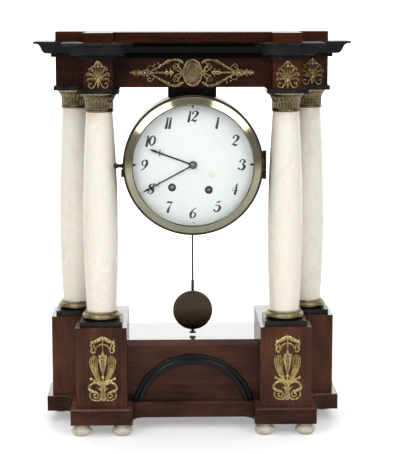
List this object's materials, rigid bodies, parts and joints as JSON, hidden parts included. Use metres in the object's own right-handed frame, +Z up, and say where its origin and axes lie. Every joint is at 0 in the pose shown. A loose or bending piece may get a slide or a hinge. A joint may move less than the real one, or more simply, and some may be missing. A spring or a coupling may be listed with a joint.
{
  "type": "portico clock",
  "caption": "Portico mantel clock: alabaster columns on a mahogany base carry a black cornice, with a hinged-bezel drum movement and a pendulum hanging between them.",
  "frame": {"origin": "on the table, under the middle of the clock's bounding box", "axes": "+X to the right seen from the front, -Y to the front, +Z up"},
  "size_m": [0.4074, 0.1544, 0.518],
  "materials": {
    "mahogany": "polished",
    "dark_mahogany": "polished",
    "ebonised": "black polish",
    "alabaster": "polished",
    "gilt": "aged gilding",
    "bronze": "dark patina",
    "brass": "satin",
    "steel": "satin",
    "black_steel": "blued black",
    "enamel": "glossy",
    "glass": "clear"
  },
  "bodies": {
    "case": {"feet": "alabaster", "plinth": "mahogany", "pedestal_left": "mahogany", "pedestal_right": "mahogany", "base_panel": "mahogany", "arch_moulding": "ebonised", "deck": "mahogany", "back_board": "dark_mahogany", "pedestal_mounts": "gilt", "column_base_plates": "ebonised", "column_base_rings": "gilt", "column_front_left": "alabaster", "column_front_right": "alabaster", "column_rear_left": "alabaster", "column_rear_right": "alabaster", "capital_front_left": "gilt", "capital_front_right": "gilt", "capital_rear_left": "gilt", "capital_rear_right": "gilt", "abacus_plates": "ebonised", "column_rods": "steel", "frieze": "dark_mahogany", "cornice": "ebonised", "parapet": "mahogany", "frieze_palmettes": "gilt", "frieze_mount": "gilt", "hanging_block": "ebonised", "drum": "bronze", "rear_cover": "bronze", "dial": "enamel", "hinge_pin": "steel", "bezel_catch": "black_steel", "front_plate": "brass", "back_plate": "brass", "plate_pillars": "brass", "suspension_cock": "brass", "bell": "brass"},
    "bezel_door": {"bezel": "gilt", "glass": "glass", "bezel_knob": "bronze"},
    "centre_arbor": {"centre_wheel": "brass", "cannon_pinion": "steel", "minute_hand": "black_steel"},
    "hour_pipe": {"hour_wheel": "brass", "hour_hand": "black_steel"},
    "minute_wheel": {"minute_wheel": "brass"},
    "second_wheel": {"second_wheel": "brass"},
    "going_barrel": {"going_barrel": "brass"},
    "third_wheel": {"third_wheel": "brass"},
    "escape_wheel": {"escape_wheel": "brass"},
    "pendulum": {"pendulum_rod": "bronze", "pendulum_bob": "bronze"},
    "anchor": {"anchor": "steel"},
    "rating_nut": {"rating_nut": "bronze"},
    "pin_wheel": {"pin_wheel": "brass"},
    "strike_barrel": {"strike_barrel": "brass"},
    "going_arbor": {"going_arbor": "steel"},
    "strike_arbor": {"strike_arbor": "steel"},
    "hammer": {"hammer": "steel"}
  },
  "joints": [
    {"name": "bezel_hinge", "type": "hinge", "parent": "case", "child": "bezel_door", "pos_m": [0.0914, -0.04475, 0.351], "axis": [0, 0, 1], "range_deg": [0, 95]},
    {"name": "minute_spin", "type": "hinge", "parent": "case", "child": "centre_arbor", "pos_m": [0, -0.0155, 0.351], "axis": [0, 1, 0], "continuous": true},
    {"name": "hour_spin", "type": "hinge", "parent": "case", "child": "hour_pipe", "pos_m": [0, -0.0155, 0.351], "axis": [0, 1, 0], "continuous": true},
    {"name": "minute_wheel_spin", "type": "hinge", "parent": "case", "child": "minute_wheel", "pos_m": [0, -0.0155, 0.363], "axis": [0, 1, 0], "continuous": true},
    {"name": "second_spin", "type": "hinge", "parent": "case", "child": "second_wheel", "pos_m": [-0.02032, -0.0155, 0.3457], "axis": [0, 1, 0], "continuous": true},
    {"name": "going_barrel_spin", "type": "hinge", "parent": "case", "child": "going_barrel", "pos_m": [-0.0269, -0.0155, 0.3221], "axis": [0, 1, 0], "continuous": true},
    {"name": "third_spin", "type": "hinge", "parent": "case", "child": "third_wheel", "pos_m": [-0.01003, -0.0155, 0.36807], "axis": [0, 1, 0], "continuous": true},
    {"name": "escape_spin", "type": "hinge", "parent": "case", "child": "escape_wheel", "pos_m": [0, -0.0155, 0.38302], "axis": [0, 1, 0], "continuous": true},
    {"name": "pendulum_swing", "type": "hinge", "parent": "case", "child": "pendulum", "pos_m": [0, 0.00545, 0.399], "axis": [0, 1, 0], "range_deg": [-3.5, 3.5]},
    {"name": "anchor_swing", "type": "hinge", "parent": "case", "child": "anchor", "pos_m": [0, -0.0155, 0.399], "axis": [0, 1, 0], "range_deg": [-3.5, 3.5]},
    {"name": "rating_nut_turn", "type": "hinge", "parent": "pendulum", "child": "rating_nut", "pos_m": [0, 0.00545, 0.1226], "axis": [0, 0, 1], "continuous": true},
    {"name": "pin_wheel_spin", "type": "hinge", "parent": "case", "child": "pin_wheel", "pos_m": [0.02821, -0.0155, 0.34135], "axis": [0, 1, 0], "continuous": true},
    {"name": "strike_barrel_spin", "type": "hinge", "parent": "case", "child": "strike_barrel", "pos_m": [0.02, -0.0155, 0.3188], "axis": [0, 1, 0], "continuous": true},
    {"name": "going_winding", "type": "hinge", "parent": "case", "child": "going_arbor", "pos_m": [-0.0269, -0.0155, 0.3221], "axis": [0, 1, 0], "continuous": true},
    {"name": "strike_winding", "type": "hinge", "parent": "case", "child": "strike_arbor", "pos_m": [0.02, -0.0155, 0.3188], "axis": [0, 1, 0], "continuous": true},
    {"name": "hammer_swing", "type": "hinge", "parent": "case", "child": "hammer", "pos_m": [0.052, -0.0155, 0.371], "axis": [0, -1, 0], "range_deg": [0, 15]}
  ],
  "couplings": [
    {"joint": "hour_spin", "follows": "minute_spin", "ratio": 0.083333},
    {"joint": "minute_wheel_spin", "follows": "minute_spin", "ratio": -0.33333},
    {"joint": "second_spin", "follows": "minute_spin", "ratio": -0.16667},
    {"joint": "going_barrel_spin", "follows": "minute_spin", "ratio": 0.027778},
    {"joint": "third_spin", "follows": "minute_spin", "ratio": -10},
    {"joint": "escape_spin", "follows": "minute_spin", "ratio": 90},
    {"joint": "strike_barrel_spin", "follows": "pin_wheel_spin", "ratio": -0.14286},
    {"joint": "anchor_swing", "follows": "pendulum_swing", "ratio": 1}
  ]
}
